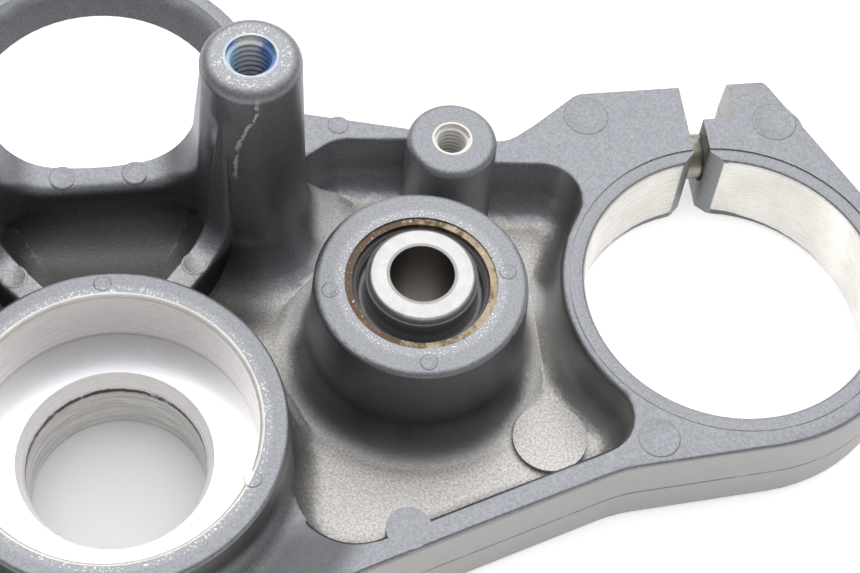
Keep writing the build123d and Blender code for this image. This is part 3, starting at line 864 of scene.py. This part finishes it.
def makeSmoothingGroup():
    group = bpy.data.node_groups.new("softEdges", "GeometryNodeTree")
    for way in ("INPUT", "OUTPUT"):
        group.interface.new_socket("Geometry", in_out=way, socket_type="NodeSocketGeometry")
    entry = group.nodes.new("NodeGroupInput")
    leave = group.nodes.new("NodeGroupOutput")
    faces = group.nodes.new("GeometryNodeSetShadeSmooth")
    edges = group.nodes.new("GeometryNodeSetShadeSmooth")
    edges.domain = "EDGE"
    edges.inputs["Shade Smooth"].default_value = False
    angle = group.nodes.new("GeometryNodeInputMeshEdgeAngle")
    steep = group.nodes.new("FunctionNodeCompare")
    steep.operation = "GREATER_THAN"
    steep.inputs[1].default_value = radians(softEdges["sharpAngle"])
    group.links.new(entry.outputs[0], faces.inputs["Geometry"])
    group.links.new(faces.outputs[0], edges.inputs["Geometry"])
    group.links.new(angle.outputs[0], steep.inputs[0])
    group.links.new(steep.outputs[0], edges.inputs["Selection"])
    group.links.new(edges.outputs[0], leave.inputs[0])
    return group


smoothingGroup = makeSmoothingGroup()


def dressNode(name, node):
    kind = name if name in nodeFinishes else name.split("_", 1)[1]  # the name without its side
    node.data.materials.clear()
    node.data.materials.append(nodeFinishes[kind])
    weld = node.modifiers.new("merge", "WELD")
    weld.merge_threshold = softEdges["mergeDistance"] * mm
    smoothing = node.modifiers.new("edges", "NODES")
    smoothing.node_group = smoothingGroup
    shading = node.modifiers.new("shading", "WEIGHTED_NORMAL")
    shading.keep_sharp = True


for name, node in frame["nodes"].items():
    dressNode(name, node)
print("nodes dressed:", len(frame["nodes"]))


# Ways to model new pieces

def pick(piece, test):  # selects the points that pass the test
    bpy.ops.object.mode_set(mode="OBJECT")
    for part in (piece.data.polygons, piece.data.edges):
        part.foreach_set("select", [False] * len(part))
    for point in piece.data.vertices:
        point.select = test(point.co)
    bpy.ops.object.mode_set(mode="EDIT")


def startPiece():
    if bpy.context.object and bpy.context.object.mode != "OBJECT":
        bpy.ops.object.mode_set(mode="OBJECT")
    bpy.ops.object.select_all(action="DESELECT")
    bpy.context.tool_settings.mesh_select_mode = (True, False, False)


def copyPiece(piece, shift):  # a shifted copy with its own mesh
    startPiece()
    piece.select_set(True)
    bpy.context.view_layer.objects.active = piece
    bpy.ops.object.duplicate()
    bpy.ops.object.mode_set(mode="EDIT")
    bpy.ops.mesh.select_all(action="SELECT")
    bpy.ops.transform.translate(value=shift)
    bpy.ops.object.mode_set(mode="OBJECT")
    return bpy.context.object


def endPiece(piece, name, material):
    piece.name = piece.data.name = name
    piece.data.materials.clear()
    piece.data.materials.append(material)
    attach(piece, "root")
    print("piece made:", name, len(piece.data.polygons), "faces")


# Thread ridges in the tapped holes

threads = {
    "switch_thread": {"mount": "switch_screw", "top": "post", "pitch": 1.25, "minor": 3.35, "start": 0.15},
    "small_thread": {"mount": "small_screw", "top": "screwBoss", "pitch": 1.0, "minor": 2.5, "start": 0.12},
    "rootShare": 0.86,
    "crestShare": 0.22,
    "sink": 0.04,
    "steps": 40,
    "mergeDistance": 0.0005,
}
threadFinish = {
    "dark": (0.86, 0.85, 0.80),
    "light": (0.98, 0.97, 0.94),
    "cloudSize": 1.2,
    "cloudDepth": 0.03,
    "locker": (0.06, 0.22, 0.55),
    "lockerPale": (0.52, 0.74, 0.93),
    "lockerShare": 0.9,
    "lockerSides": (0.8, 2.4),  # from the middle of the hole
    "lockerThick": (0.2, 0.9),
    "lockerRise": 0.2,  # thicker for each millimetre outwards
    "thickSize": 0.7,
    "raggedSize": 1.6,
    "raggedReach": 3.0,
    "metal": 0.0,
    "roughness": (0.24, 0.40),
}


def makeThreadMetal(name, lockerShare):
    material, tree, surface, coords = newMaterial(name)
    x = splitPlace(tree, coords)[0]
    cloud = speckle(tree, coords, threadFinish["cloudSize"], detail=4.0, roughness=0.6)
    colour = tint(tree, cloud, threadFinish["dark"], threadFinish["light"])
    outwards = calc(tree, "SUBTRACT", calc(tree, "ABSOLUTE", x), postPlace.x)
    lumps = speckle(tree, coords, threadFinish["thickSize"], detail=3.0)
    thick = calc(tree, "MULTIPLY_ADD", outwards, threadFinish["lockerRise"] / mm, lumps)
    thickShare = fade(tree, thick, *threadFinish["lockerThick"])
    blue = tint(tree, thickShare, threadFinish["lockerPale"], threadFinish["locker"])
    rough = speckle(tree, coords, threadFinish["raggedSize"], detail=4.0, roughness=0.6)
    reach = threadFinish["raggedReach"] * mm
    aside = calc(tree, "SUBTRACT", calc(tree, "ABSOLUTE", outwards), reach / 2)
    ragged = calc(tree, "MULTIPLY_ADD", rough, reach, aside)
    stain = product(tree, fadeMm(tree, ragged, threadFinish["lockerSides"]), lockerShare)
    put(tree, surface.inputs["Base Color"], tint(tree, stain, colour, blue))
    surface.inputs["Metallic"].default_value = threadFinish["metal"]
    put(tree, surface.inputs["Roughness"], between(tree, cloud, *threadFinish["roughness"]))
    addBump(tree, surface, cloud, threadFinish["cloudDepth"])
    return material


def makeThread(form):  # in the right hole
    mount = mounts["right_" + form["mount"]]
    place = Vector(mount["pos_m"])
    pitch = form["pitch"] * mm
    minor = form["minor"] * mm
    root = pitch * threads["rootShare"]
    top = (levels[form["top"]] - form["start"]) * mm
    depth = (mount["dims"]["length_mm"] - form["start"]) * mm
    ridge = (mount["dims"]["r_mm"] + threads["sink"]) * mm - minor
    middle = minor + ridge / 2
    startPiece()
    bpy.ops.mesh.primitive_plane_add(size=1.0, rotation=(pi / 2, 0, 0))
    piece = bpy.context.object
    bpy.ops.object.transform_apply(location=False, rotation=True, scale=False)
    bpy.ops.object.mode_set(mode="EDIT")
    bpy.ops.mesh.select_all(action="SELECT")
    bpy.ops.transform.resize(value=(ridge, 1.0, root), center_override=(0, 0, 0))
    bpy.ops.transform.translate(value=(middle, 0, 0))
    pick(piece, lambda point: point.x < middle)
    crest = threads["crestShare"] / threads["rootShare"]
    bpy.ops.transform.resize(value=(1.0, 1.0, crest), center_override=(middle, 0, 0))
    bpy.ops.mesh.select_all(action="SELECT")
    bpy.ops.mesh.delete(type="ONLY_FACE")
    bpy.ops.object.mode_set(mode="OBJECT")
    turns = int((depth - root) / pitch)
    screw = piece.modifiers.new("turns", "SCREW")
    screw.axis = "Z"
    screw.screw_offset = pitch
    screw.iterations = turns
    screw.steps = screw.render_steps = threads["steps"]
    bpy.ops.object.modifier_apply(modifier="turns")
    bpy.ops.object.mode_set(mode="EDIT")
    bpy.ops.mesh.select_all(action="SELECT")
    bpy.ops.mesh.remove_doubles(threshold=threads["mergeDistance"] * mm)
    bpy.ops.mesh.fill_holes(sides=4)
    bpy.ops.mesh.select_all(action="SELECT")
    bpy.ops.mesh.normals_make_consistent(inside=False)
    lift = top - root / 2 - turns * pitch
    bpy.ops.transform.translate(value=(place.x, place.y, lift))
    bpy.ops.object.mode_set(mode="OBJECT")
    return piece


threadMetals = {
    "switch_thread": makeThreadMetal("lockedThread", threadFinish["lockerShare"]),
    "small_thread": makeThreadMetal("cleanThread", 0.0),
}
for kind, metal in threadMetals.items():
    endPiece(makeThread(threads[kind]), "right_" + kind, metal)
for kind, metal in threadMetals.items():
    mount = threads[kind]["mount"]
    across = mountPlace("left_" + mount) - mountPlace("right_" + mount)
    thread = copyPiece(bpy.data.objects["right_" + kind], across)
    endPiece(thread, "left_" + kind, metal)


# Round marks of the ejector pins on the flat faces

marks = {
    "places": [  # X, Y, radius and face, for the right half and the middle
        (6.1, 52.3, 2.3, "rim"),
        (14.9, 35.8, 2.3, "rib"),
        (41.4, 59.4, 1.9, "rim"),
        (84.9, 57.8, 4.0, "rim"),
        (118.0, 53.9, 4.0, "rim"),
        (86.1, -5.9, 3.5, "rim"),
        (20.8, -11.4, 1.5, "stem"),
        (0.0, 25.2, 1.5, "stem"),
        (35.9, 21.3, 1.5, "bush"),
        (64.9, 22.2, 1.5, "bush"),
        (50.0, 6.7, 1.5, "bush"),
    ],
    "height": 0.14,
    "sink": 0.05,
    "slope": 0.24,
    "lip": 0.18,
    "dish": 0.10,
    "corners": 40,
    "smoothAngle": 60.0,
}


def makeMark(x, y, radius, level):
    startPiece()
    place = (x * mm, y * mm, (level - marks["sink"]) * mm)
    bpy.ops.mesh.primitive_circle_add(
        vertices=marks["corners"], radius=radius * mm, fill_type="NGON", location=place
    )
    mark = bpy.context.object
    bpy.ops.object.transform_apply(location=True, rotation=False, scale=False)
    bpy.ops.object.mode_set(mode="EDIT")
    bpy.ops.mesh.select_all(action="SELECT")
    rise = (marks["height"] + marks["sink"]) * mm
    bpy.ops.mesh.extrude_region_move(TRANSFORM_OT_translate={"value": (0, 0, rise)})
    narrow = 1 - marks["slope"] / radius
    bpy.ops.transform.resize(value=(narrow, narrow, 1), center_override=(x * mm, y * mm, 0))
    bpy.ops.mesh.inset(thickness=marks["lip"] * mm)
    bpy.ops.mesh.inset(thickness=marks["slope"] * mm)
    bpy.ops.transform.translate(value=(0, 0, -marks["dish"] * mm))
    bpy.ops.mesh.select_all(action="SELECT")
    bpy.ops.mesh.normals_make_consistent(inside=False)
    bpy.ops.object.mode_set(mode="OBJECT")
    return mark


def makeMarks():
    made = []
    for x, y, radius, face in marks["places"]:
        mark = makeMark(x, y, radius, levels[face])
        made.append(mark)
        if x:
            made.append(copyPiece(mark, (-2 * x * mm, 0, 0)))
    startPiece()
    for mark in made:
        mark.select_set(True)
    bpy.context.view_layer.objects.active = made[0]
    bpy.ops.object.join()
    bpy.ops.object.shade_smooth_by_angle(angle=radians(marks["smoothAngle"]))
    endPiece(made[0], "ejector_marks", castPaintWithShading)


makeMarks()


# Floor, light and camera

floorSettings = {
    "size": 6000.0,
    "drop": 0.1,
    "pale": (0.93, 0.93, 0.93),
    "cloudTone": (0.9021, 0.9021, 0.9021),
    "cloudSize": 60.0,
    # painted shade on the table under the stem hole
    "underStemShade": (0.84, 0.84, 0.84),
    "roughness": 0.6,
    # painted light: glow of the table away from the stem hole
    "paintedGlow": 0.55,
    "glowEdge": (24.0, 48.0),  # from the stem axis
}
lightSettings = {
    "keyDirection": (0.1, 0.48, 0.87),
    "keyEdge": (0.5, 0.88),
    "keyColour": (1.0, 1.0, 1.02),
    "keyStrength": 2.0,
    "fillColour": (1.0, 0.99, 0.97),
    "fillStrength": 0.36,
}
cameraSettings = {
    "place": (11.122, -151.642, 311.51),
    "aim": (53.12, 25.51, 17.0),
    "roll": 7.088,
    "lens": 87.613,
    "sensor": 36.0,
    "nearest": 10.0,
}


def makeFloor():
    startPiece()
    place = (0, 0, -floorSettings["drop"] * mm)
    bpy.ops.mesh.primitive_plane_add(size=floorSettings["size"] * mm, location=place)
    floor = bpy.context.object
    floor.name = "paleFloor"
    material, tree, surface, coords = newMaterial("paleFloor")
    x, y = splitPlace(tree, coords)[:2]
    cloud = speckle(tree, coords, floorSettings["cloudSize"], detail=3.0)
    pale = tint(tree, cloud, floorSettings["cloudTone"], floorSettings["pale"])
    paintedGlow = fadeMm(tree, axisDistance(tree, x, y, stemPlace), floorSettings["glowEdge"])
    put(tree, surface.inputs["Base Color"], tint(tree, paintedGlow, floorSettings["underStemShade"], pale))
    surface.inputs["Roughness"].default_value = floorSettings["roughness"]
    surface.inputs["Emission Color"].default_value = (1.0, 1.0, 1.0, 1.0)
    strength = calc(tree, "MULTIPLY", paintedGlow, floorSettings["paintedGlow"])  # painted light: the table glows, except under the stem hole, where it is also painted darker as shade
    put(tree, surface.inputs["Emission Strength"], strength)
    floor.data.materials.append(material)


def makeSky():  # a wide soft panel above and behind, and faint light from all round
    world = bpy.data.worlds.new("lightTent")
    bpy.context.scene.world = world
    world.use_nodes = True
    tree = world.node_tree
    background = tree.nodes["Background"]
    direction = tree.nodes.new("ShaderNodeTexCoord").outputs["Generated"]
    aim = tree.nodes.new("ShaderNodeVectorMath")
    aim.operation = "DOT_PRODUCT"
    put(tree, aim.inputs[0], direction)
    aim.inputs[1].default_value = Vector(lightSettings["keyDirection"]).normalized()
    panel = fade(tree, aim.outputs["Value"], *lightSettings["keyEdge"])
    key = [part * lightSettings["keyStrength"] for part in lightSettings["keyColour"]]
    fill = [part * lightSettings["fillStrength"] for part in lightSettings["fillColour"]]
    put(tree, background.inputs["Color"], tint(tree, panel, fill, key))


def makeCamera():
    data = bpy.data.cameras.new("photoCamera")
    camera = bpy.data.objects.new("photoCamera", data)
    bpy.context.scene.collection.objects.link(camera)
    place = Vector(cameraSettings["place"]) * mm
    look = Vector(cameraSettings["aim"]) * mm - place
    turn = look.to_track_quat("-Z", "Y") @ Quaternion((0, 0, 1), radians(cameraSettings["roll"]))
    camera.location = place
    camera.rotation_mode = "QUATERNION"
    camera.rotation_quaternion = turn
    data.sensor_width = cameraSettings["sensor"]
    data.lens = cameraSettings["lens"]
    data.clip_start = cameraSettings["nearest"] * mm
    bpy.context.scene.camera = camera


makeFloor()
makeSky()
makeCamera()
bpy.context.scene.view_settings.view_transform = "Standard"
print("stage set")
